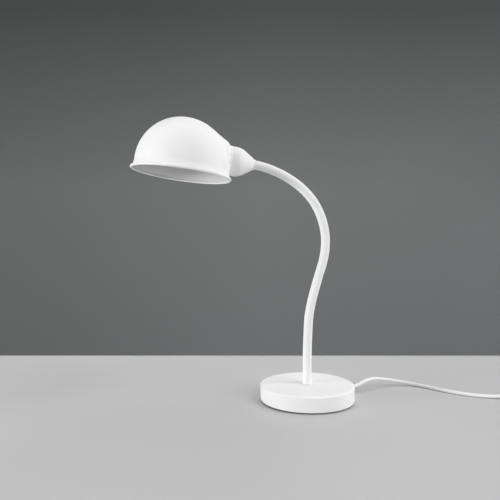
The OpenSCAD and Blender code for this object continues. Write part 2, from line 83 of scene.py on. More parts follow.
COIL_AT, COIL_IN, COIL_OUT = (357, -123), 21.8, 41.4
PLUG_AT, PLUG_Z, PLUG_L, PLUG_RELIEF = (264, -164.4), 6.85, 36, 22


# %% [markdown]
# ## The camera
#
# A product picture of a lamp is taken from about its own height, so that the shade's
# opening just shows. The camera could track an empty object, but a place and a
# direction in plain numbers need no helper object: it stands 0.75 m in front of the
# lamp, turned 12 degrees, with a 36 mm lens on a 36 mm wide sensor.


# %% Camera
def add_camera(at, ahead):
    """Adds the scene's camera at a point, looking along a direction, with no roll."""
    data = bpy.data.cameras.new("camera")
    data.lens = 36
    data.sensor_width = 36
    data.clip_start = 0.01
    obj = bpy.data.objects.new("camera", data)
    bpy.context.scene.collection.objects.link(obj)
    obj.location = at
    obj.rotation_euler = Vector(ahead).to_track_quat("-Z", "Y").to_euler()
    bpy.context.scene.camera = obj
    return obj


camera = add_camera((-0.2402, -0.7170, 0.2268), (0.2079, 0.9781, -0.00274))
print("camera at", [round(v, 3) for v in camera.location])


# %% [markdown]
# ## Meshes from arrays
#
# Nearly every part of a lamp is turned, spun or drawn along a line: a section that
# repeats. Such a piece could be modelled by hand with the Spin and Screw tools. Here
# it is a grid of points that numpy works out as a whole, because then each formula
# stands in one place and a change of size remakes the piece. A grid whose rows close
# on themselves is a tube, and one whose columns close too is a ring.


# %% Mesh helpers
def add_mesh(name, points, faces, body, smooth=True, crease=40):
    """Makes an object of points in millimetres and faces, and lets it ride on a body.
    Edges that turn more than crease degrees stay sharp."""
    mesh = bpy.data.meshes.new(name)
    mesh.from_pydata((np.asarray(points, float) * MM).tolist(), [], [list(map(int, f)) for f in faces])
    mesh.validate()
    work = bmesh.new()
    work.from_mesh(mesh)
    bmesh.ops.recalc_face_normals(work, faces=work.faces)
    work.to_mesh(mesh)
    work.free()
    mesh.polygons.foreach_set("use_smooth", np.full(len(mesh.polygons), smooth))
    mesh.update()
    if smooth and crease:
        mesh.set_sharp_from_angle(angle=math.radians(crease))
    obj = bpy.data.objects.new(name, mesh)
    bpy.context.scene.collection.objects.link(obj)
    if body:
        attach(obj, body)
    return obj


def grid_faces(rows, columns, close_rows=True, close_columns=False, start=0):
    """The quads of a grid of points that is stored row by row. close_rows joins the
    last point of a row to its first, and close_columns the last row to the first."""
    i = np.arange(rows if close_columns else rows - 1)[:, None]
    j = np.arange(columns if close_rows else columns - 1)[None, :]
    i2, j2 = (i + 1) % rows, (j + 1) % columns
    quads = np.stack([i * columns + j, i * columns + j2, i2 * columns + j2, i2 * columns + j], axis=-1)
    return (quads.reshape(-1, 4) + start).tolist()


def arc(centre, radius, start, end, n):
    """n points of an arc in a half section, from one angle to the other in degrees."""
    a = np.radians(np.linspace(start, end, n))
    return np.stack([centre[0] + radius * np.cos(a), centre[1] + radius * np.sin(a)], axis=1)


def densify(profile, step):
    """The same outline with a point at least every step millimetres."""
    profile = np.asarray(profile, float)
    out = [profile[:1]]
    for a, b in zip(profile[:-1], profile[1:]):
        n = max(1, int(np.ceil(np.linalg.norm(b - a) / step)))
        out.append(a + (b - a) * (np.arange(1, n + 1) / n)[:, None])
    return np.concatenate(out)


def turned(profile, sides):
    """A half section (radius, height) turned round the Z axis: rows x sides x 3."""
    profile = np.asarray(profile, float)
    a = 2 * np.pi * np.arange(sides) / sides
    r, z = profile[:, 0][:, None], profile[:, 1][:, None]
    return np.stack([r * np.cos(a), r * np.sin(a), z + 0 * a], axis=-1)


def placed(points, origin, x, y, z):
    """Points of a local frame, put where its origin and its three axes are."""
    axes = np.array([x, y, z], float)
    return np.asarray(points, float) @ axes + np.asarray(origin, float)


def lathe(name, profile, sides, body, where, closed=True, **kw):
    """A turned piece. where puts its points in the row frame. closed joins the half
    section's end to its start, as on a ring; otherwise both ends get a flat face."""
    rows = turned(profile, sides)
    faces = grid_faces(len(rows), sides, close_columns=closed)
    if not closed:
        faces += [list(range(sides)), list(range((len(rows) - 1) * sides, len(rows) * sides))]
    return add_mesh(name, where(rows.reshape(-1, 3)), faces, body, **kw)


def at_origin(points):
    return points


# %% [markdown]
# ## The neck's line
#
# A gooseneck is a wound steel hose that keeps any bend. Its shape could be a Bezier
# curve, but the lamp moves at twelve places, so the line is a chain of arcs: a
# stretch of length l that bends by b is an arc of radius l / b, and each one starts
# where the last one ended. The same chain places the CAD model's stretches.


# %% Neck line
def arc_step(l, b):
    """Where an arc of length l and bend b (radians) ends, seen from its start."""
    if abs(b) < 1e-9:
        return np.array([0.0, l])
    return l / b * np.array([math.cos(b) - 1, math.sin(b)])


def turn(v, h):
    """A vector of the neck's plane, turned by h radians from +Z towards -X."""
    return np.array([v[0] * math.cos(h) - v[1] * math.sin(h), v[0] * math.sin(h) + v[1] * math.cos(h)])


def stretch_length(k):
    return FOOT_L if k == 0 else LINK_L


def neck_point(k, s):
    """The point of stretch k at length s from its start, and the heading there."""
    b = math.radians(NECK_BENDS[k]) * s / stretch_length(k)
    return STARTS[k] + turn(arc_step(s, b), HEADINGS[k]), HEADINGS[k] + b


STARTS, HEADINGS = [np.array([0.0, BASE_TOP])], [0.0]
for k in range(LAST + 1):
    end, heading = neck_point(k, stretch_length(k))
    STARTS.append(end)
    HEADINGS.append(heading)
HEAD_AT = np.array([STARTS[-1][0], 0, STARTS[-1][1]])
HEAD_AXIS = np.array([-math.sin(HEADINGS[-1]), 0, math.cos(HEADINGS[-1])])
HEAD_UP = np.array([math.cos(HEADINGS[-1]), 0, math.sin(HEADINGS[-1])])
SHADE_AT = HEAD_AT + (CUP_L + SHADE_REACH) * HEAD_AXIS - NECK_RISE * HEAD_UP
print("neck ends at", HEAD_AT.round(1), "heading", round(math.degrees(HEADINGS[-1]), 1), "degrees")


def in_head(points):
    """From the head's frame: origin on the cup's back, Z into the shade, X upward."""
    return placed(points, HEAD_AT, HEAD_UP, (0, 1, 0), HEAD_AXIS) * [1, 1, 1]


def in_shade(points):
    """From the shade's frame: origin at the ball's centre, Z up, X towards the neck.
    The shade is turned a little about the lamp holder's axis, which lies NECK_RISE
    above the ball's centre: its nearer side hangs lower."""
    turned_by = np.array([[1, 0, 0], [0, math.cos(SHADE_ROLL), math.sin(SHADE_ROLL)], [0, -math.sin(SHADE_ROLL), math.cos(SHADE_ROLL)]])
    points = (np.asarray(points, float) - [0, 0, NECK_RISE]) @ turned_by + [0, 0, NECK_RISE]
    return placed(points, SHADE_AT, -HEAD_AXIS, (0, 1, 0), HEAD_UP)


def along_cord(points):
    """From the cord's axis in the base: Z outward from the base's axis, X downward."""
    out = (math.cos(CORD_AZ), math.sin(CORD_AZ), 0)
    side = (-math.sin(CORD_AZ), math.cos(CORD_AZ), 0)
    return placed(points, (0, 0, CORD_Z), (0, 0, -1), side, out)


# %% [markdown]
# ## How a finish is made
#
# Paint, plastic and metal differ in three things: their colour, how sharply they
# mirror the light, and the fine relief that their making leaves, such as the slight
# orange peel of baked powder. All three could come from image textures, but noise
# in the shader stays sharp from any distance and needs no unwrapped surface.
# Colours are written as they look on the screen (sRGB) and turned into the linear
# values that the renderer uses. The noise reads the objects' own coordinates, so a
# grain has its real size, in millimetres, on every piece.


# %% Material helpers
def linear(code, alpha=1.0):
    """An sRGB colour such as "EDEDEB" as linear red, green, blue and alpha."""
    c = np.array([int(code[i : i + 2], 16) for i in (0, 2, 4)]) / 255
    c = np.where(c <= 0.04045, c / 12.92, ((c + 0.055) / 1.055) ** 2.4)
    return (*c.tolist(), alpha)


def add_node(material, kind, inputs=(), **settings):
    """Adds one shader node. inputs are (socket, value or output) pairs."""
    tree = material.node_tree
    node = tree.nodes.new(kind)
    for key, value in settings.items():
        setattr(node, key, value)
    for socket, value in inputs:
        if isinstance(value, bpy.types.NodeSocket):
            tree.links.new(value, node.inputs[socket])
        else:
            node.inputs[socket].default_value = value
    return node


def finish_material(name, code, second, roughness, grain_mm, bump_um, metallic=0.0, specular=0.5, sheen=0.0, spread=0.08):
    """A material with its finish's own grain. Its colour drifts to the second one in
    patches 30 mm wide, its roughness varies by spread with a fine grain of grain_mm,
    and the same grain is its relief, bump_um micrometres high."""
    m = bpy.data.materials.new(name)
    m.use_nodes = True
    shader = m.node_tree.nodes["Principled BSDF"]
    place = add_node(m, "ShaderNodeTexCoord").outputs["Object"]
    fine = add_node(m, "ShaderNodeTexNoise", [("Vector", place), ("Scale", 1000 / grain_mm), ("Detail", 3)])
    patches = add_node(m, "ShaderNodeTexNoise", [("Vector", place), ("Scale", 1000 / 30), ("Detail", 2)])
    colours = [("Factor", patches.outputs["Fac"]), ("A", linear(code)), ("B", linear(second))]
    tint = add_node(m, "ShaderNodeMix", colours, data_type="RGBA")
    low, high = max(0.02, roughness - spread), min(1.0, roughness + spread)
    rough = add_node(m, "ShaderNodeMapRange", [("Value", fine.outputs["Fac"]), ("To Min", low), ("To Max", high)])
    relief = add_node(m, "ShaderNodeBump", [("Height", fine.outputs["Fac"]), ("Strength", 1), ("Distance", bump_um * 1e-6)])
    link = m.node_tree.links.new
    link(tint.outputs["Result"], shader.inputs["Base Color"])
    link(rough.outputs["Result"], shader.inputs["Roughness"])
    link(relief.outputs["Normal"], shader.inputs["Normal"])
    shader.inputs["Metallic"].default_value = metallic
    shader.inputs["Specular IOR Level"].default_value = specular
    shader.inputs["Sheen Weight"].default_value = sheen
    return m


def dress(obj, material):
    """Gives a piece its material, in place of any that it had."""
    obj.data.materials.clear()
    obj.data.materials.append(material)
    return obj


# %% [markdown]
# ## The lamp's finishes
#
# Each finish is named for what it is and how its surface was made. One material for
# all white pieces would be quicker, but the eye tells them apart: baked powder is
# satin with a faint orange peel, silicone is softer and duller, and moulded plastic
# is smoother and a little glossier.

# %% Painted and moulded finishes
# Baked powder flows out into a satin skin: soft lights with a faint orange peel.
paint = finish_material("white powder coat", "F4F4F4", "F0F0F0", 0.52, 0.9, 14, specular=0.35)
# The shade's inside is duller, and its white is painted darker than the outside's: painted shade, for the dimmer
# light inside the shade.
inner_coat_painted_shade = finish_material("matt inner coat with painted shade", "DEDEDE", "D6D6D6", 0.6, 0.9, 14, specular=0.3)
# Extruded silicone rubber has hardly any shine, which makes the neck look soft.
sleeve_skin = finish_material("white silicone sleeve", "F2F2F2", "EEEEEE", 0.55, 0.5, 8, specular=0.35)
# PVC is drawn through a polished die: smooth, with a broad weak light along it.
cord_skin = finish_material("white PVC cord", "F2F2F2", "EEEEED", 0.45, 0.7, 6, specular=0.35)
# Hard plastic copies its polished mould: clearer, smaller lights than on the paint.
moulded = finish_material("white moulded plastic", "EFEFEC", "EBEBE8", 0.32, 0.4, 5)
# Soft PVC comes out of its mould with a dull bloom and a warmer white.
soft_moulded = finish_material("white soft PVC", "ECECE9", "E7E7E3", 0.48, 0.5, 7)
# Unglazed steatite is a dense cream ceramic, matt with a gritty feel.
steatite = finish_material("steatite ceramic", "EFE9DA", "E6DFCE", 0.55, 0.6, 18)
# The sheet of EVA under the base is cut foam: nearly black, with open cells.
foam = finish_material("black EVA foam", "222222", "191919", 0.85, 0.8, 120, sheen=0.1)
# The tie's woven back takes the light in its fibres and looks like dull black felt.
band = finish_material("black tie band", "1D1D1E", "141415", 0.7, 0.35, 60, sheen=0.2)

# %% Metals
# Zinc plating is a thin bluish skin that mirrors the light in a soft smear.
zinc = finish_material("zinc plated steel", "BFC2C6", "AEB2B8", 0.3, 0.6, 4, metallic=1.0)
# The hose is wound from drawn steel strip, darker where oil is left on it.
hose_steel = finish_material("wound hose steel", "A9ABAF", "96999E", 0.34, 0.5, 10, metallic=1.0)
# Iron cast in sand keeps the grains' print: dark and rough, with dull glints.
iron = finish_material("rough cast iron", "4B4A49", "3A3938", 0.75, 1.4, 160, metallic=0.6)
# Brass off the lathe is bright and yellow.
brass = finish_material("turned brass", "C9A55C", "B9944B", 0.28, 0.5, 4, metallic=1.0)
# Nickel over brass is a warm grey mirror, slightly worn.
nickel = finish_material("nickel plated brass", "C9C6BE", "BBB7AE", 0.22, 0.5, 3, metallic=1.0)

# %% [markdown]
# ## The finishes on the CAD model's own solids
#
# Pieces whose solid already has the right form, such as screws, nuts and the parts
# of the lamp holder, stay as they are and only get their finish. The record names
# a material slot for each of them, so one table dresses them all.

# %% Finishes of the CAD solids
SLOT_MATERIALS = {
    "white_paint": paint,
    "neck_sleeve": sleeve_skin,
    "hose_steel": hose_steel,
    "cast_iron": iron,
    "zinc_steel": zinc,
    "brass": brass,
    "nickel_brass": nickel,
    "white_plastic": moulded,
    "steatite": steatite,
    "soft_pvc": soft_moulded,
    "cord_pvc": cord_skin,
    "tie_band": band,
    "foam_pad": foam,
}
slot_of = {part["node"]: part["material_slot"] for part in frame["record"]["subparts"]}
for name, obj in frame["nodes"].items():
    obj.data.materials.clear()
    obj.data.materials.append(SLOT_MATERIALS[slot_of[name]])
print(len(SLOT_MATERIALS), "materials on", len(frame["nodes"]), "CAD nodes")


# %% [markdown]
# ## The cord's route
#
# A mains lead is stiff enough to leave the base straight, rise in a low hump and
# then lie on the table in slow bends. Its unseen length is wound into a neat coil,
# as for storage.


# %% Cord route
LEAD_ROUTE = [
    (RELIEF_END * math.cos(CORD_AZ), RELIEF_END * math.sin(CORD_AZ), CORD_Z),
    (90, 24.15, 9.2),
    (96, 26.3, 10.5),
    (104, 29.6, 12.7),
    (115, 34.2, 14.5),
    (127, 38.4, 14.7),
    (140, 41.5, 12.9),
    (154, 43.4, 10.1),
    (170, 43.2, 7),
    (185, 38.5, 4.7),
    (199, 28.5, 3.2),
    (210, 14.5, 2.7),
    (220, -2, 2.7),
    (232, -19, 2.7),
    (246, -34, 2.7),
    (262, -46, 2.7),
    (277, -54, 3),
    (291, -58.5, 4.2),
    (304, -60.6, 6.2),
    (317, -61, 7),
]
LINK_ROUTE = [
    (367, -61, 7),
    (374, -61.4, 7),
    (384, -65.2, 6),
    (392, -73, 4.6),
    (397, -84, 3.2),
    (398.4, -97, 2.7),
    (398.4, -110, 2.7),
]
TAIL_ROUTE = [
    (355, -164.4, 8),
    (346, -164.4, 8),
    (337, -164.4, 7.7),
    (328, -164.4, 7.1),
    (318, -164.4, 6.85),
]


def smooth_curve(route, parts=8):
    """The smooth curve through a route, with so many points for each of its spans."""
    p = np.asarray(route, float)
    t = np.arange(parts)[:, None] / parts
    out = []
    for i in range(len(p) - 1):
        a, b, c, d = p[max(i - 1, 0)], p[i], p[i + 1], p[min(i + 2, len(p) - 1)]
        out.append(
            b + t / 2 * (c - a) + t**2 / 2 * (2 * a - 5 * b + 4 * c - d) + t**3 / 2 * (3 * b - a - 3 * c + d)
        )
    return np.concatenate(out + [p[-1:]])


def coil_curve(low_turns=3.6, high_turns=3.65, per_turn=72):
    """The coil's centreline, wound clockwise from its +X side: a spiral inward on the
    table and one outward on top of it. The height over the table is what two round
    cords need, sqrt(d2 - h2), where h is the distance to the turn below."""
    d = 2 * CORD_R
    n_low, n_high = int(low_turns * per_turn), int(high_turns * per_turn)
    turns = np.arange(n_low + n_high + 1) / per_turn
    low = turns <= low_turns
    r = np.where(
        low,
        COIL_OUT - (COIL_OUT - COIL_IN) * turns / low_turns,
        COIL_IN + (COIL_OUT - COIL_IN) * (turns - low_turns) / high_turns,
    )
    z = np.zeros(len(turns))
    for i in np.where(~low)[0]:
        below = np.arange(i % per_turn, n_low + 1, per_turn)
        h = np.abs(r[below] - r[i]).min()
        z[i] = math.sqrt(max(0.0, d * d - h * h))
    kernel = np.hanning(17) / np.hanning(17).sum()
    z = np.convolve(np.pad(z, 8, mode="edge"), kernel, mode="valid")
    a = -2 * np.pi * turns
    return np.stack([COIL_AT[0] + r * np.cos(a), COIL_AT[1] + r * np.sin(a), CORD_R + z], axis=1)


def respaced(line, step):
    """The same line with points evenly spaced along it, about step apart."""
    gone = np.concatenate([[0], np.cumsum(np.linalg.norm(np.diff(line, axis=0), axis=1))])
    s = np.linspace(0, gone[-1], int(gone[-1] / step) + 1)
    return np.stack([np.interp(s, gone, line[:, i]) for i in range(3)], axis=1), gone[-1]


coil_line = coil_curve()
cord_line = np.concatenate([smooth_curve(LEAD_ROUTE), smooth_curve(LINK_ROUTE), coil_line, smooth_curve(TAIL_ROUTE)])
cord_line, cord_length = respaced(cord_line, 2.0)
for _ in range(6):
    cord_line[1:-1] = 0.25 * cord_line[:-2] + 0.5 * cord_line[1:-1] + 0.25 * cord_line[2:]
cord_length = np.linalg.norm(np.diff(cord_line, axis=0), axis=1).sum()
print("cord", round(cord_length), "mm long, coil", round(np.linalg.norm(np.diff(coil_line, axis=0), axis=1).sum()))


# %% Cord
def tube(name, line, radius, sides, body):
    """A round bar along a line, with flat ends. Each ring stands across the line, on
    the horizontal direction and the one over it."""
    ahead = np.gradient(line, axis=0)
    ahead /= np.linalg.norm(ahead, axis=1)[:, None]
    side = np.cross(ahead, [0, 0, 1.0])
    side /= np.linalg.norm(side, axis=1)[:, None]
    over = np.cross(side, ahead)
    a = 2 * np.pi * np.arange(sides) / sides
    rings = line[:, None] + radius * (np.cos(a)[None, :, None] * side[:, None] + np.sin(a)[None, :, None] * over[:, None])
    faces = grid_faces(len(line), sides)
    faces += [list(range(sides))[::-1], list(range((len(line) - 1) * sides, len(line) * sides))]
    return add_mesh(name, rings.reshape(-1, 3), faces, body)


cord = dress(tube("mains_cord", cord_line, CORD_R, 16, "root"), cord_skin)
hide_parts("cord_lead", "cord_link", "cord_coil", "cord_tail")
print("cord:", len(cord.data.polygons), "faces")


# %% [markdown]
# ## The neck
#
# A silicone sleeve is drawn over the wound hose and takes every bend with it. One
# long tube could follow the whole neck, but the moving parts here are the CAD
# model's bodies. So sleeve and hose both come in twelve pieces, one over each bend,
# from the middle of one stretch to the middle of the next, and the pieces meet end
# to end where nothing bends, with a thin tongue tucked under each meeting.


# %% Neck
def neck_line(k, low, high, step=1.5):
    """Points and headings along stretch k, between two lengths from its start."""
    n = max(1, int(round((high - low) / step)))
    return [neck_point(k, s) for s in np.linspace(low, high, n + 1)]


def bend_piece(name, k, low, high, radius, inner, sides, step, tongue=0):
    """A tube over bend k, between a length on stretch k - 1 and one on stretch k. Its
    rings run up the outside, whose radius may vary along it, and back inside. A tongue
    reaches that far into the next piece, just under its skin, and keeps them closed."""
    line = neck_line(k - 1, low, stretch_length(k - 1), step)[:-1] + neck_line(k, 0, high, step)
    radii = radius(np.arange(len(line)))
    if tongue:
        line += [neck_point(k, high + s) for s in (0.01, tongue)]
        radii = np.append(radii, [radii[-1] - 0.06] * 2)
    centre = np.array([(p[0], 0, p[1]) for p, _ in line])
    across = np.array([(math.cos(h), 0, math.sin(h)) for _, h in line])
    a = 2 * np.pi * np.arange(sides) / sides
    ring = np.cos(a)[None, :, None] * across[:, None] + np.sin(a)[None, :, None] * np.array([0, 1, 0])
    outer = radii[:, None, None] * ring
    rings = np.concatenate([centre[:, None] + outer, (centre[:, None] + inner * ring)[::-1]])
    piece = add_mesh(name, rings.reshape(-1, 3), grid_faces(len(rings), sides, close_columns=True), None)
    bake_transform(piece)
    return piece


def bend_span(k, at_foot, at_head):
    """Where the piece over bend k begins and ends: in the middle of its stretches,
    and at the neck's own ends so far from the foot and from the cup."""
    low = at_foot if k == 1 else stretch_length(k - 1) / 2
    return low, stretch_length(k) - at_head if k == LAST else stretch_length(k) / 2


for k in range(1, LAST + 1):
    nodes = [k - 1, k] if k == 1 else [k]
    low, high = bend_span(k, 0.15, 0.1)
    piece = bend_piece(f"sleeve_over_bend_{k:02d}", k, low, high, lambda i: np.full(len(i), NECK_R), 6.1, 48, 1.5, 0 if k == LAST else 0.8)
    dress(piece, sleeve_skin)
    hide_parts(*[f"sleeve_{n:02d}" for n in nodes])
    low, high = bend_span(k, 16.2, 8.2)
    piece = bend_piece(f"hose_over_bend_{k:02d}", k, low, high, lambda i: 5.45 - 0.2 * (i % 3 == 0), 3.4, 20, 0.9)
    dress(piece, hose_steel)
    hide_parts(*[f"hose_{n:02d}" for n in nodes])
print("neck:", 2 * LAST, "pieces, the last one", len(piece.data.polygons), "faces")

# %% [markdown]
# ## The shade
#
# The shade is one sheet of steel, spun over a form: a ball, a mound that leads over
# to the neck, and a flare with a rolled edge. A boolean union of a ball and a cone
# would leave a hard seam where a spun sheet flows. So rays leave the ball's centre
# in every direction, and the outside is where each ray reaches the ball or, where
# that is further, the mound, with a rounding where the two are nearly equal.


# %% Shade outline
BOSS_CONE, BOSS_ROUND, BOSS_SLOPE = math.radians(28.3), 7.3, math.radians(79)
COLLAR_R, COLLAR_L, COLLAR_EDGE = CUP_R + 0.5, 4.8, 0.6
ROUND_R = COLLAR_R - BOSS_ROUND * math.cos(BOSS_SLOPE)
ROUND_X = SHADE_REACH - COLLAR_L - BOSS_ROUND * math.sin(BOSS_SLOPE)
FLARE_R = (FLARE_H**2 + FLARE_OUT**2) / (2 * FLARE_OUT)


def boss_radius(x):
    """The mound's radius round the lamp's axis at a distance x from the ball's
    centre: a cone, a rounded shoulder, a collar and its rounded edge."""
    cone_end = ROUND_X + BOSS_ROUND * math.sin(BOSS_CONE)
    cone = ROUND_R + BOSS_ROUND * math.cos(BOSS_CONE) + (cone_end - x) * math.tan(BOSS_CONE)
    shoulder = ROUND_R + np.sqrt(np.maximum(BOSS_ROUND**2 - (x - ROUND_X) ** 2, 0))
    collar = np.full_like(x, COLLAR_R)
    edge_x = x - (SHADE_REACH - COLLAR_EDGE)
    edge = COLLAR_R - COLLAR_EDGE + np.sqrt(np.maximum(COLLAR_EDGE**2 - np.maximum(edge_x, 0) ** 2, 0))
    out = np.where(x < cone_end, cone, np.where(x < SHADE_REACH - COLLAR_L, shoulder, collar))
    return np.where(edge_x > 0, edge, out)


def inside_boss(p):
    """Whether points lie inside the mound, closed by its flat end."""
    r = np.hypot(p[..., 1], p[..., 2] - NECK_RISE)
    return (p[..., 0] < SHADE_REACH) & (r < boss_radius(p[..., 0]))


def boss_distance(start, ahead):
    """How far the mound reaches along rays that begin inside it, by halving."""
    low, high = np.zeros(ahead.shape[:-1]), np.full(ahead.shape[:-1], 140.0)
    for _ in range(40):
        middle = (low + high) / 2
        inside = inside_boss(start + ahead * middle[..., None])
        low, high = np.where(inside, middle, low), np.where(inside, high, middle)
    return low


def smooth_max(a, b, width):
    """The greater of two lengths, rounded where they are less than width apart."""
    near = np.maximum(width - np.abs(a - b), 0) / width
    return np.maximum(a, b) + near**2 * width / 4


def faded(reach, ahead):
    """The mound's reach, led well under the ball's surface where the mound's cone
    would leave the ball on its far side."""
    shown = np.clip((reach * ahead[..., 0] - 26) / 12, 0, 1)
    return SHADE_R + (reach - SHADE_R) * shown - 3 * (1 - shown)


SIDES = 480
turns_round = 2 * np.pi * np.arange(SIDES) / SIDES
tilts = np.radians(np.concatenate([np.linspace(90, 62, 15)[1:], np.linspace(62, 0, 105)[1:]]))
t, a = np.meshgrid(tilts, turns_round, indexing="ij")
rays = np.stack([np.cos(t) * np.cos(a), np.cos(t) * np.sin(a), np.sin(t)], axis=-1)
reach = boss_distance(np.zeros(3), rays)
reach = faded(reach, rays)
dome = rays * smooth_max(np.full_like(reach, SHADE_R), reach, 2.5)[..., None]
print("dome", dome.shape, "reaches", dome.reshape(-1, 3).max(0).round(1))


# %% [markdown]
# ## The flare, the bead and the sheet's inside
#
# Under its widest line the shade flares out and ends in a bead: the sheet's edge is
# rolled up so that it is stiff and doesn't cut. The Solidify modifier could give the
# sheet its thickness, but then the bead would have to be a piece of its own. Rows of
# one grid run down the outside, round the bead and up the inside instead.

# %% Shade
def level_rows(heights, inset=0.0):
    """Rows under the ball's middle, along level rays: the flare or the mound."""
    z, a = np.meshgrid(heights, turns_round, indexing="ij")
    flat = np.stack([np.cos(a), np.sin(a), np.zeros_like(a)], axis=-1)
    start = np.stack([np.zeros_like(z), np.zeros_like(z), z], axis=-1)
    flare = SHADE_R + FLARE_R - np.sqrt(FLARE_R**2 - z**2)
    mound = boss_distance(start, flat)
    reach = smooth_max(flare, faded(mound, flat), 2.5) - inset
    return start + flat * reach[..., None]


flare_rows = level_rows(np.linspace(-0.5, -FLARE_H + 1.3, 15))
bead = np.array([SHADE_R + FLARE_OUT - 0.1, -FLARE_H - 0.7])
bead_ring = arc(bead, BEAD_R, 100, -212, 26)
outer_rows = np.concatenate([dome, flare_rows])
rim_rows = turned(bead_ring, SIDES)
inner_flare = level_rows(np.linspace(-FLARE_H + 0.9, -0.5, 14), SHADE_T)
skin = np.concatenate([outer_rows, rim_rows])
gradient_u = np.roll(dome, -1, axis=1) - np.roll(dome, 1, axis=1)
gradient_v = np.gradient(dome, axis=0)
normal = np.cross(gradient_v, gradient_u)
normal /= np.linalg.norm(normal, axis=-1)[..., None]
normal *= np.sign((normal * dome).sum(-1))[..., None]
inner_dome = (dome - SHADE_T * normal)[::-1]
rows = np.concatenate([skin, inner_flare, inner_dome])
poles = np.array([[0, 0, SHADE_R], [0, 0, SHADE_R - SHADE_T]])
n_rows = len(rows)
faces = np.array(grid_faces(n_rows, SIDES))
middles = rows.reshape(-1, 3)[faces].mean(axis=1)
off_axis = np.hypot(middles[:, 1], middles[:, 2] - NECK_RISE)
hidden = (off_axis < 19.6) & (middles[:, 0] > SHADE_REACH - 3)
faces = faces[~hidden].tolist()
first, final = n_rows * SIDES, n_rows * SIDES + 1
faces += [[first, (j + 1) % SIDES, j] for j in range(SIDES)]
base = (n_rows - 1) * SIDES
faces += [[final, base + j, base + (j + 1) % SIDES] for j in range(SIDES)]
shade = add_mesh("shade_sheet", in_shade(np.concatenate([rows.reshape(-1, 3), poles])), faces, "head", crease=50)
dress(shade, paint)
# The inner faces get the darker white: painted shade for the shade's dim inside.
shade.data.materials.append(inner_coat_painted_shade)
centres = np.zeros(3 * len(shade.data.polygons))
shade.data.polygons.foreach_get("center", centres)
facing = np.zeros_like(centres)
shade.data.polygons.foreach_get("normal", facing)
from_ball = centres.reshape(-1, 3) / MM - SHADE_AT
inside = ((from_ball * facing.reshape(-1, 3)).sum(axis=1) < 0) & (from_ball @ HEAD_UP > -FLARE_H)
shade.data.polygons.foreach_set("material_index", inside.astype(int))
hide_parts("shade")
print("shade:", len(shade.data.polygons), "faces,", int(hidden.sum()), "left out round the lamp holder")

# %% [markdown]
# ## The cup
#
# The cup hides the lamp holder behind the shade. It is spun too: a cone with a large
# rounding into its straight rim, and on its back a short collar that takes the
# sleeve's end. It could be a lathe object made with the Screw modifier. A half
# section turned by a formula gives the same, and its rounding stays tangent when a
# size changes.


# %% Cup
CUP_NOSE, ROUND_Z = NECK_R + 2.1, CUP_L - 6
CUP_OVER = CUP_NOSE + math.tan(CUP_CONE) * ROUND_Z - CUP_R
CUP_ROUND = CUP_OVER * math.cos(CUP_CONE) / (1 - math.cos(CUP_CONE))


def cup_wall(inset, low, high):
    """The cup's wall between two heights, moved inward: a cone, then the large
    rounding that leads into the straight rim."""
    r = CUP_ROUND - inset
    start = ROUND_Z - r * math.sin(CUP_CONE)
    at = CUP_R - CUP_ROUND
    cone_r = at + r * math.cos(CUP_CONE) - (start - low) * math.tan(CUP_CONE)
    a = np.linspace(math.degrees(CUP_CONE), 0, 14)
    swing = np.stack([at + r * np.cos(np.radians(a)), ROUND_Z - r * np.sin(np.radians(a))], axis=1)
    return np.concatenate([[(cone_r, low)], swing, [(CUP_R - inset, high)]])


outer = cup_wall(0, 0.6, CUP_L - 0.3)
inner = cup_wall(CUP_T, 1.2, CUP_L - 0.3)[::-1]
nose_r = cup_wall(0, 0, 1)[0][0]
collar = [(5.2, 0.1), (6.72, 0), (6.75, -2.9), (6.95, -3.05), (7.5, -3.05), (7.7, -2.85), (7.7, -0.5), (7.85, -0.15), (nose_r - 0.35, 0)]
profile = densify(np.concatenate([collar, outer, [(CUP_R - 0.15, CUP_L), (CUP_R - CUP_T + 0.15, CUP_L)], inner, [(5.2, 1.2)]]), 1.2)
cup = dress(lathe("cup_sheet", profile, 144, "head", in_head), paint)
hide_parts("lamp_cup")
print("cup:", len(cup.data.polygons), "faces")

# %% [markdown]
# ## The base
#
# The base is a drawn steel shell over a cast weight, on a pad of foam that keeps it
# from sliding. A cylinder with a bevel would look alike from above, but from below
# a real shell is hollow, so its whole section is turned: the skirt, the rounded upper
# edge, the hole for the neck's foot and the sheet's inside. The faces where the
# cord's bushing sits are left out.


# %% Base shell
edge = arc((BASE_R - BASE_EDGE, BASE_TOP - BASE_EDGE), BASE_EDGE, 0, 90, 10)
inner_edge = arc((BASE_R - BASE_EDGE, BASE_TOP - BASE_EDGE), BASE_EDGE - SHELL_T, 90, 0, 6)
outside = [(BASE_R - SHELL_T, PAD_T), (BASE_R - 0.3, PAD_T), (BASE_R, PAD_T + 0.3)]
middle = [(5.2, BASE_TOP), (5.2, BASE_TOP - SHELL_T)]
profile = densify(np.concatenate([outside, edge, middle, inner_edge]), 1.6)
rows = turned(profile, 288)
rows = rows.reshape(-1, 3)
faces = np.array(grid_faces(len(profile), 288, close_columns=True))
middles = rows[faces].mean(axis=1)
out = np.array([math.cos(CORD_AZ), math.sin(CORD_AZ), 0])
from_hole = np.linalg.norm(np.cross(middles - [0, 0, CORD_Z], out), axis=1)
hole = (from_hole < 4.4) & (middles @ out > BASE_R - 4)
shell = add_mesh("base_cover", rows, faces[~hole].tolist(), "root")
dress(shell, paint)
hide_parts("base_shell")
pad_profile = [(0.0, 0.0), (BASE_R - 4.6, 0), (BASE_R - 4.1, 0.35), (BASE_R - 4, 1), (BASE_R - 4.1, 1.65), (BASE_R - 4.4, PAD_T), (0.0, PAD_T)]
pad = dress(lathe("foam_pad", densify(pad_profile, 4)[1:-1], 144, "root", at_origin, closed=False), foam)
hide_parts("base_pad")
print("base:", len(shell.data.polygons), "faces, pad", len(pad.data.polygons))


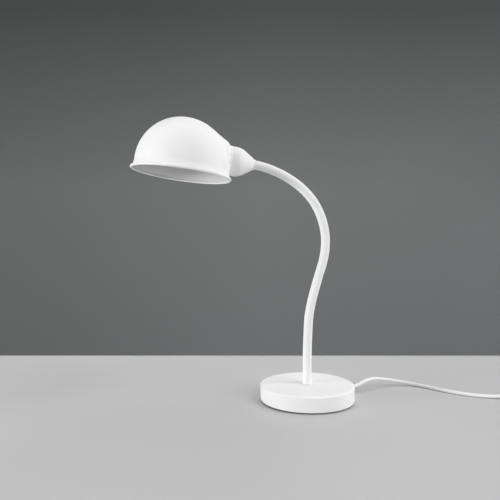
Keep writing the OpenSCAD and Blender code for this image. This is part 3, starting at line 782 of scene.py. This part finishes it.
# %% [markdown]
# ## The cord's bushing
#
# Where a cord leaves a housing, a soft moulded sleeve keeps it from kinking: it has
# a groove that snaps into the sheet, and a taper with cuts across it that bends
# with the cord. The cuts could be subtracted one by one, but as they go all the way
# round, they are simply part of the turned section.

# %% Bushing
def relief_profile(start, end, r_start, r_end, bore, grooves=5, depth=0.55, width=1.5):
    """A cord's tapering strain relief with grooves across it."""
    length = end - start
    points = [(bore, start)]
    step = length / (grooves + 1)
    slope = (r_end - r_start) / length
    points.append((r_start, start))
    for i in range(1, grooves + 1):
        z = start + i * step - 0.3
        r = r_start + slope * (z - start)
        floor_r = max(r - depth, bore + 0.25)
        for dz, rr in ((-width / 2, r), (-width / 2 + 0.25, floor_r), (width / 2 - 0.25, floor_r), (width / 2, r)):
            points.append((rr, z + dz))
    points += [(r_end, end - 0.3), (r_end - 0.25, end), (bore, end)]
    return points


bore = CORD_R + 0.05
bushing_profile = [
    (bore, BASE_R - 3.5),
    (5.1, BASE_R - 3.5),
    (5.1, BASE_R - 1.5),
    (4.1, BASE_R - 1.45),
    (4.1, BASE_R + 0.05),
    (5.0, BASE_R + 0.05),
    (5.2, BASE_R + 0.3),
    (5.2, BASE_R + 1.5),
    (4.95, BASE_R + 1.8),
] + relief_profile(BASE_R + 1.8, RELIEF_END, 4.75, CORD_R + 0.7, bore)[1:]
bushing = dress(lathe("cord_relief", densify(bushing_profile, 1.5), 48, "root", along_cord), soft_moulded)
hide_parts("cord_bushing")
print("bushing:", len(bushing.data.polygons), "faces")


# %% [markdown]
# ## The in-line switch
#
# The cord carries its switch: two moulded halves with rounded edges, screwed
# together from below, and a rocker in a window of the upper one. A bevelled box with
# a boolean for the window would need cleaning up. Here each half is a stack of level
# rings that all have the same number of points, so the case's outline runs over into
# the window's without a single stray face.


# %% Switch case
def outline_ring(half_l, half_w, corner, z, n_corner=10, n_end=14, n_side=16):
    """A level ring: a rectangle with rounded corners, counter-clockwise from the
    start of the corner at +X, +Y."""
    l, w = half_l - corner, half_w - corner
    points = []
    for i, (x, y) in enumerate(((l, w), (-l, w), (-l, -w), (l, -w))):
        points.append(arc((x, y), corner, 90 * i, 90 * i + 90, n_corner))
    out = []
    for i in range(4):
        here, there = points[i][-1], points[(i + 1) % 4][0]
        steps = np.linspace(0, 1, (n_side if i % 2 == 0 else n_end) + 2)[1:-1, None]
        out += [points[i], here + (there - here) * steps]
    flat = np.concatenate(out)
    return np.column_stack([flat, np.full(len(flat), z)])


def case_ring(inset, z, corner=7.0):
    """A ring of the case's outline at height z, moved inward."""
    return outline_ring(SWITCH_L / 2 - inset, SWITCH_W / 2 - inset, max(corner - inset, 0.5), z)


def with_cord_way(rings, sign):
    """Lifts the rings' points at the case's ends round the cord, up or down."""
    out = []
    for ring in rings:
        ring = ring.copy()
        near = np.abs(ring[:, 1]) < CORD_R + 0.05
        bow = np.sqrt(np.maximum((CORD_R + 0.05) ** 2 - ring[:, 1] ** 2, 0))
        at_split = np.abs(ring[:, 2] - SWITCH_SPLIT) < bow
        end = np.abs(ring[:, 0]) > SWITCH_L / 2 - 3
        move = near & at_split & end
        ring[move, 2] = SWITCH_SPLIT + sign * bow[move]
        out.append(ring)
    return out


def ring_piece(name, rings, closed, where, body="root", crease=38):
    """A piece of rings that all have the same number of points."""
    n = len(rings[0])
    faces = grid_faces(len(rings), n, close_columns=closed)
    if not closed:
        faces += [list(range(n)), list(range((len(rings) - 1) * n, len(rings) * n))]
    return add_mesh(name, where(np.concatenate(rings)), faces, body, crease=crease)


def at_switch(points):
    return points + np.array([SWITCH_AT[0], SWITCH_AT[1], 0.0])


WALL, TOP_EDGE, FOOT_EDGE = 1.6, 2.4, 1.6
over = arc((0, 0), 1, 0, 90, 8)
outside = [case_ring(TOP_EDGE * (1 - x), SWITCH_H - TOP_EDGE * (1 - z)) for x, z in over]
window = [outline_ring(7.5, 4.3, 0.8, SWITCH_H), outline_ring(7.4, 4.2, 0.8, SWITCH_H - 0.25), outline_ring(7.4, 4.2, 0.8, SWITCH_H - WALL)]
ceiling = SWITCH_H - WALL
upper = [case_ring(0.25, SWITCH_SPLIT + 0.05), case_ring(0, SWITCH_SPLIT + 0.3)]
upper += [case_ring(0, SWITCH_SPLIT + 1.6), case_ring(0, SWITCH_SPLIT + 3.2)] + outside + [case_ring(5, SWITCH_H)] + window
upper += [case_ring(WALL + 1.5, ceiling), case_ring(WALL, ceiling - 1.2), case_ring(WALL, SWITCH_SPLIT + 0.05)]
upper_half = ring_piece("switch_case_upper", with_cord_way(upper, 1), True, at_switch)
dress(upper_half, moulded)
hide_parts("switch_upper")
foot = [case_ring(FOOT_EDGE * (1 - x), FOOT_EDGE * (1 - z)) for x, z in over][::-1]
lower = [case_ring(8, 0)] + foot + [case_ring(0, 3.5), case_ring(0, SWITCH_SPLIT - 0.3), case_ring(0.25, SWITCH_SPLIT - 0.05)]
lower += [case_ring(WALL, SWITCH_SPLIT - 0.05), case_ring(WALL, WALL + 1), case_ring(WALL + 1, WALL), case_ring(8, WALL)]
lower_half = ring_piece("switch_case_lower", with_cord_way(lower, -1), False, at_switch)
print("switch case:", len(upper_half.data.polygons) + len(lower_half.data.polygons), "faces")


# %% [markdown]
# ## Screw holes
#
# The screws sit in round holes of the lower half, off the rings' centre. A round
# hole in the middle of a face is the one shape that rings can't give, so a boolean
# cuts it, and its result is kept as the piece's mesh.

# %% Holes
def bore(obj, place, ahead, radius, length, sides=32):
    """Bores a round hole, from a point in millimetres along a direction."""
    ahead = np.array(ahead, float) / np.linalg.norm(ahead)
    side = np.cross(ahead, [0, 0, 1.0]) if abs(ahead[2]) < 0.9 else np.array([1.0, 0, 0])
    side /= np.linalg.norm(side)
    a = 2 * np.pi * np.arange(sides) / sides
    ring = radius * (np.cos(a)[:, None] * side + np.sin(a)[:, None] * np.cross(ahead, side))
    points = np.concatenate([ring + place, ring + place + length * ahead])
    faces = grid_faces(2, sides) + [list(range(sides)), list(range(sides, 2 * sides))]
    tool = add_mesh("bit", points, faces, None)
    cut = obj.modifiers.new("bore", "BOOLEAN")
    cut.operation = "DIFFERENCE"
    cut.solver = "EXACT"
    cut.object = tool
    graph = bpy.context.evaluated_depsgraph_get()
    mesh = bpy.data.meshes.new_from_object(obj.evaluated_get(graph))
    obj.modifiers.clear()
    obj.data = mesh
    bpy.data.objects.remove(tool)
    mesh.polygons.foreach_set("use_smooth", np.ones(len(mesh.polygons), bool))
    mesh.set_sharp_from_angle(angle=math.radians(38))
    return obj


SCREWS_AT = [(end * 17, end * 7.2) for end in (-1, 1)]
for x, y in SCREWS_AT:
    bore(lower_half, (SWITCH_AT[0] + x, SWITCH_AT[1] + y, -1), (0, 0, 1), 2.6, 4)
dress(lower_half, moulded)
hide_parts("switch_lower")
print("lower half with screw holes:", len(lower_half.data.polygons), "faces")


# %% [markdown]
# ## The rocker and the screws
#
# A rocker is dished so that a finger finds its two ends in the dark. The dish is a
# parabola taken off its top rings. The screws could be plain discs, since they face
# the table, but a cross recess costs only three rings more.

# %% Rocker and screws
def at_rocker(points):
    """The rocker's frame: X along the case, Z up, tilted to its off position."""
    tilt = math.radians(7)
    x, z = (math.cos(tilt), 0, math.sin(tilt)), (-math.sin(tilt), 0, math.cos(tilt))
    return placed(points, (SWITCH_AT[0], SWITCH_AT[1], 12), x, (0, 1, 0), z)


def rocker_ring(half_l, half_w, corner, low, dip=0.0):
    """A ring of the rocker. Its top is dished: it sinks by dip in the middle."""
    ring = outline_ring(half_l, half_w, corner, low)
    ring[:, 2] -= dip * (1 - (ring[:, 0] / 6.8) ** 2)
    return ring


rings = [rocker_ring(5.6, 2.8, 0.5, -1.6), rocker_ring(6.6, 3.8, 0.6, -1.6), rocker_ring(6.8, 4.0, 0.6, -1.4)]
rings += [rocker_ring(6.8, 4.0, 0.6, 1.0, 0.1), rocker_ring(6.8, 4.0, 0.6, 2.7, 0.5), rocker_ring(6.65, 3.85, 0.6, 3.1, 0.6)]
rings += [rocker_ring(6.35, 3.55, 0.5, 3.2, 0.6), rocker_ring(5.0, 2.6, 0.4, 3.2, 0.6), rocker_ring(3.0, 1.2, 0.3, 3.2, 0.6)]
rocker = ring_piece("switch_rocker", rings, False, at_rocker, body="rocker")
dress(rocker, moulded)
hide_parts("rocker")


def screw_head(name, at, z, radius, height):
    """A pan head that faces down: a low dome with a cross recess. The rings run from
    the recess's floor outward; the first three are pulled in between its four arms."""
    a = 2 * np.pi * np.arange(48) / 48
    arms = 1 - 0.62 * np.minimum(1, 3 * np.minimum(np.abs(np.sin(a)), np.abs(np.cos(a))))
    recess = [(0.4, 0.5), (1.0, 0.5), (1.05, 0.02)]
    dome = [(0.62 * radius, 0), (0.9 * radius, 0.12), (radius, 0.45), (radius, height), (0.4 * radius, height)]
    rings = []
    for i, (r, h) in enumerate(recess + dome):
        across = r * arms if i < len(recess) else np.full(48, r)
        rings.append(np.column_stack([at[0] + across * np.cos(a), at[1] + across * np.sin(a), np.full(48, z + h)]))
    return ring_piece(name, rings, False, at_switch)


for i, (x, y) in enumerate(SCREWS_AT):
    head = screw_head(f"case_screw_{i + 1}", (x, y), 0.6, 2.3, 1.4)
    dress(head, zinc)
    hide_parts("switch_screws")
print("rocker:", len(rocker.data.polygons), "faces; 2 screws")

# %% [markdown]
# ## The plug
#
# A flat two-pin plug is moulded onto its cord, 35 mm wide at the pins and narrowing
# to a grooved strain relief. It could be sculpted from a subdivided box. A loft is
# truer to the mould: sections stand across the cord's line, and a rounded rectangle
# turns into a circle as its width, its height and its corners ease over.


# %% Plug body
def at_plug(points):
    """The plug's frame: X from the pins' face towards the cord, Z up."""
    return points + np.array([PLUG_AT[0], PLUG_AT[1], PLUG_Z])


def plug_ring(x, half_w, half_h, corner):
    """A section across the plug at distance x from the pins' face."""
    flat = outline_ring(half_w, half_h, corner, 0, n_corner=9, n_end=5, n_side=11)
    return np.column_stack([np.full(len(flat), x), flat[:, 0], flat[:, 1]])


def ease(x, xs, ys):
    """A value between stations, with level ends at every station."""
    i = np.clip(np.searchsorted(xs, x) - 1, 0, len(xs) - 2)
    t = np.clip((x - xs[i]) / (xs[i + 1] - xs[i]), 0, 1)
    t = t * t * (3 - 2 * t)
    return ys[i] + (ys[i + 1] - ys[i]) * t


rings = [plug_ring(0.0, 4, 1.5, 1.2), plug_ring(0.0, 14.5, 4.2, 2.2), plug_ring(0.0, 16.9, 6.1, 2.9), plug_ring(0.25, 17.4, 6.6, 3.2), plug_ring(0.9, 17.6, 6.82, 3.4)]
for x in np.linspace(2.2, PLUG_L, 24):
    half_w = ease(x, np.array([8, 34.0]), np.array([17.62, 7.6]))
    half_h = ease(x, np.array([15, PLUG_L + 0.0]), np.array([6.83, 5.5]))
    corner = ease(x, np.array([2, PLUG_L + 0.0]), np.array([3.5, 5.3]))
    rings.append(plug_ring(x, half_w, half_h, min(corner, half_h - 0.05, half_w - 0.05)))
relief = relief_profile(PLUG_L + 1.2, PLUG_L + PLUG_RELIEF, 5.0, CORD_R + 0.7, bore=CORD_R + 0.05)
rings += [plug_ring(PLUG_L + 0.8, 6.0, 5.3, 5.2)]
rings += [plug_ring(x, r, r, r - 0.02) for r, x in relief[1:-1]]
rings += [plug_ring(PLUG_L + PLUG_RELIEF, CORD_R + 0.05, CORD_R + 0.05, CORD_R + 0.03)]
rings += [plug_ring(PLUG_L - 8, CORD_R + 0.05, CORD_R + 0.05, CORD_R + 0.03)]
plug = ring_piece("plug_case", rings, False, at_plug, crease=32)
dress(plug, soft_moulded)
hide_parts("plug_body")
print("plug:", len(plug.data.polygons), "faces")


# %% Pins
def along_pin(side):
    """The frame of one pin: its profile's Z runs out of the plug, to -X."""
    return lambda p: at_plug(np.column_stack([-p[:, 2], side * 9.3 + p[:, 0], p[:, 1]]))


for side, label in ((-1, "a"), (1, "b")):
    tip = [(0.4, 19.0), (0.9, 18.95), (1.4, 18.6), (1.75, 17.9), (1.95, 17.0), (2.0, 16.2), (2.0, 10.1), (1.7, 10.0), (1.7, 1.0), (0.4, 1.0)]
    metal = lathe(f"plug_pin_{label}", densify(tip, 0.8), 32, "root", along_pin(side), closed=False)
    dress(metal, nickel)
    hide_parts("plug_pins")
    cover = [(1.72, 9.95), (1.85, 9.95), (1.93, 9.7), (1.95, 9.0), (1.97, 0.6), (2.3, 0.1), (2.6, -0.3), (1.72, -0.3)]
    insulation = lathe(f"pin_insulation_{label}", densify(cover, 1.0), 32, "root", along_pin(side))
    dress(insulation, soft_moulded)
print("pins: 2, each with its insulation")

# %% [markdown]
# ## The tie
#
# A strip of hook and loop band holds the coil. It goes once round the two layers of
# cord, and its end lies on itself. A curve with a flat bevel would twist at the
# corners, so the band is swept one point at a time: its width always lies across the coil.


# %% Tie
def strip(name, line, half_w, thickness, body):
    """A band along a line in the XZ plane, with its width along Y."""
    line = np.asarray(line, float)
    ahead = np.gradient(line, axis=0)
    ahead /= np.linalg.norm(ahead, axis=1)[:, None]
    out = np.column_stack([ahead[:, 1], -ahead[:, 0]])
    n = len(line)
    rows = []
    for y, side in ((-half_w, 0), (-half_w, 1), (half_w, 1), (half_w, 0)):
        p = line + out * thickness * side
        rows.append(np.column_stack([p[:, 0], np.full(n, y), p[:, 1]]))
    rings = np.stack(rows, axis=1)
    faces = grid_faces(n, 4) + [[0, 1, 2, 3], [4 * n - 4, 4 * n - 3, 4 * n - 2, 4 * n - 1]]
    return add_mesh(name, rings.reshape(-1, 3) + [COIL_AT[0], COIL_AT[1], 0], faces, body, crease=30)


middle_x, half_x, low_z, high_z, round_r = -(COIL_IN + COIL_OUT) / 2, (COIL_OUT - COIL_IN) / 2 + CORD_R, 0.85, 11.75, 2.7
corners = [(half_x, low_z, -90), (half_x, high_z, 0), (-half_x, high_z, 90), (-half_x, low_z, 180)]
path = [(middle_x - 4, low_z)]
for x, z, start in corners:
    sx, sz = (-1 if x > 0 else 1), (1 if z < 5 else -1)
    path += arc((middle_x + x + sx * round_r, z + sz * round_r), round_r, start, start + 90, 9).tolist()
path += [(middle_x - 4.5, low_z)]
tie = strip("hook_and_loop_tie", densify(path, 1.5), 4, 0.75, "root")
dress(tie, band)
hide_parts("coil_tie")
print("tie:", len(tie.data.polygons), "faces")

# %% [markdown]
# ## The cord
#
# The cord is one round bar along its whole route, from the base to the plug.

# %% [markdown]
# ## Table and wall
#
# The lamp stands on a pale table in front of a grey wall. A lit background could be
# had from the world, but then the light on it would light the lamp too. Two plain
# surfaces leave the lamp's light alone and take its shadow. Their tones are painted
# light: the wall is painted darker towards its top and its left, the table darker
# towards its right, and a thin light strip at the wall's foot is a painted highlight.


# %% Stage
def stage_material(name, tones, sides, high, roughness, specular=0.2, lets_lamps_by=False):
    """A matt surface for the stage, with a faint cloud over it. Its tone runs through
    a list of colours from the ground to a height in metres, and it is multiplied by a
    second one that runs from one side of the stage to the other. Its back is clear,
    so that the lamp can be looked at from behind the wall and from under the table."""
    m = bpy.data.materials.new(name)
    m.use_nodes = True
    shader = m.node_tree.nodes["Principled BSDF"]
    place = add_node(m, "ShaderNodeTexCoord").outputs["Object"]
    split = add_node(m, "ShaderNodeSeparateXYZ", [("Vector", place)])
    up = add_node(m, "ShaderNodeMapRange", [("Value", split.outputs["Z"]), ("From Max", high)])
    across = add_node(m, "ShaderNodeMapRange", [("Value", split.outputs["X"]), ("From Min", -1), ("From Max", 1)])
    noise = add_node(m, "ShaderNodeTexNoise", [("Vector", place), ("Scale", 2.5), ("Detail", 1)])
    cloud = add_node(m, "ShaderNodeMath", [(0, noise.outputs["Fac"]), (1, 0.06), (2, up.outputs["Result"])], operation="MULTIPLY_ADD")
    ramps = []
    for where, colours in ((cloud.outputs["Value"], tones), (across.outputs["Result"], sides)):
        ramp = add_node(m, "ShaderNodeValToRGB", [("Fac", where)])
        points = ramp.color_ramp.elements
        points[0].color, points[1].color = linear(colours[0]), linear(colours[-1])
        for i in range(1, len(colours) - 1):
            points.new(i / (len(colours) - 1)).color = linear(colours[i])
        ramps.append(ramp.outputs["Color"])
    tone = add_node(m, "ShaderNodeMix", [("Factor", 1), ("A", ramps[0]), ("B", ramps[1])], data_type="RGBA", blend_type="MULTIPLY")
    m.node_tree.links.new(tone.outputs["Result"], shader.inputs["Base Color"])
    back = add_node(m, "ShaderNodeNewGeometry").outputs["Backfacing"]
    if lets_lamps_by:
        shadow = add_node(m, "ShaderNodeLightPath").outputs["Is Shadow Ray"]
        back = add_node(m, "ShaderNodeMath", [(0, back), (1, shadow)], operation="MAXIMUM").outputs["Value"]
    clear = add_node(m, "ShaderNodeBsdfTransparent").outputs["BSDF"]
    seen = add_node(m, "ShaderNodeMixShader", [(0, back), (1, shader.outputs["BSDF"]), (2, clear)])
    m.node_tree.links.new(seen.outputs["Shader"], m.node_tree.nodes["Material Output"].inputs["Surface"])
    shader.inputs["Roughness"].default_value = roughness
    shader.inputs["Specular IOR Level"].default_value = specular
    return m


def on_stage(across, back, z):
    """A point of the stage: millimetres to the right of the camera's line, in front
    of the camera along it, and up."""
    right, ahead = (0.9781, -0.2079), (0.2079, 0.9781)
    return (-240.2 + across * right[0] + back * ahead[0], -717.0 + across * right[1] + back * ahead[1], z)


def stage_plane(name, corners, material):
    """A flat piece of the stage. Seen from its front, its corners follow one another
    counter-clockwise."""
    mesh = bpy.data.meshes.new(name)
    mesh.from_pydata((np.array(corners) * MM).tolist(), [], [(0, 1, 2, 3)])
    mesh.materials.append(material)
    obj = bpy.data.objects.new(name, mesh)
    bpy.context.scene.collection.objects.link(obj)
    print(name, "faces", [round(v, 2) for v in mesh.polygons[0].normal])


WALL_AT, SIDE = 1051, 2600
# The table's colour runs from white on the left to a darker grey on the right: painted light, for the lamps' light
# falling off across the table.
table_painted_light = stage_material("pale table", ["CBCBCB", "CBCBCB"], ["FFFFFF", "E6E6E6"], 1, 0.8)
# The wall's tones are painted shade: darker towards its top and towards its left side, for light falling off across
# it.
wall_painted_shade_by_height = ["707274", "767879", "4E5051"]
wall_painted_shade_across = ["B9B9B5", "FAFAF8", "FCFCFC"]
wall_finish = stage_material("grey wall", wall_painted_shade_by_height, wall_painted_shade_across, 0.75, 0.9, lets_lamps_by=True)
# A thin lighter strip at the wall's foot is a painted highlight, for light caught along the table's back edge.
seam_painted_highlight = stage_material("painted highlight seam", ["C2C2C2", "C2C2C2"], ["FFFFFF", "FFFFFF"], 1, 0.8)
table_corners = [on_stage(x, y, 0) for x, y in ((-SIDE, -2500), (SIDE, -2500), (SIDE, 4500), (-SIDE, 4500))]
stage_plane("floor", table_corners, table_painted_light)
stage_plane("backdrop", [on_stage(x, WALL_AT, z) for x, z in ((-SIDE, 0), (SIDE, 0), (SIDE, 2400), (-SIDE, 2400))], wall_finish)
# The seam strip carries the painted highlight.
stage_plane("seam", [on_stage(x, WALL_AT - 1, z) for x, z in ((-SIDE, 0), (SIDE, 0), (SIDE, 2.2), (-SIDE, 2.2))], seam_painted_highlight)


# %% [markdown]
# ## Light
#
# White on white shows its form only by soft shades, so every lamp is large: one high
# on the right, one on the left, a wide one overhead, and small low ones that reach
# under the shade. A sky image would light it too, but six soft squares can each be
# set. They stand far off, so that base and shade get nearly the same light.

# %% Light
def soft_lamp(name, at, size, power, aim=(0, 0, 0.2)):
    """A square soft lamp at a point, turned towards another."""
    data = bpy.data.lights.new(name, "AREA")
    data.shape = "SQUARE"
    data.size = size
    data.energy = power
    obj = bpy.data.objects.new(name, data)
    bpy.context.scene.collection.objects.link(obj)
    obj.location = at
    obj.rotation_euler = (Vector(aim) - Vector(at)).to_track_quat("-Z", "Y").to_euler()
    return obj


soft_lamp("high_right", (3.6, -3.0, 5.0), 4.0, 208)
soft_lamp("low_right", (4.2, -1.35, 0.95), 1.9, 65)
soft_lamp("front_right", (1.3, -1.9, 0.7), 1.2, 7)
soft_lamp("left", (-4.8, -1.6, 2.0), 4.0, 118)
soft_lamp("low_left", (-4.0, -0.9, 0.3), 0.8, 76)
soft_lamp("ceiling", (0.0, -0.6, 5.5), 7.0, 20, (0, -0.6, 0))
soft_lamp("high_back", (0.8, 2.2, 5.0), 5.0, 190)
world = bpy.data.worlds.new("studio")
bpy.context.scene.world = world
world.use_nodes = True
rays = add_node(world, "ShaderNodeLightPath")
seen = add_node(world, "ShaderNodeMath", [(0, rays.outputs["Is Camera Ray"]), (1, rays.outputs["Is Glossy Ray"])], operation="MAXIMUM")
strength = add_node(world, "ShaderNodeMapRange", [("Value", seen.outputs["Value"]), ("To Min", 0.015), ("To Max", 0.25)])
background = world.node_tree.nodes["Background"]
background.inputs["Color"].default_value = (1, 1, 1, 1)
world.node_tree.links.new(strength.outputs["Result"], background.inputs["Strength"])
bpy.context.scene.view_settings.view_transform = "Standard"
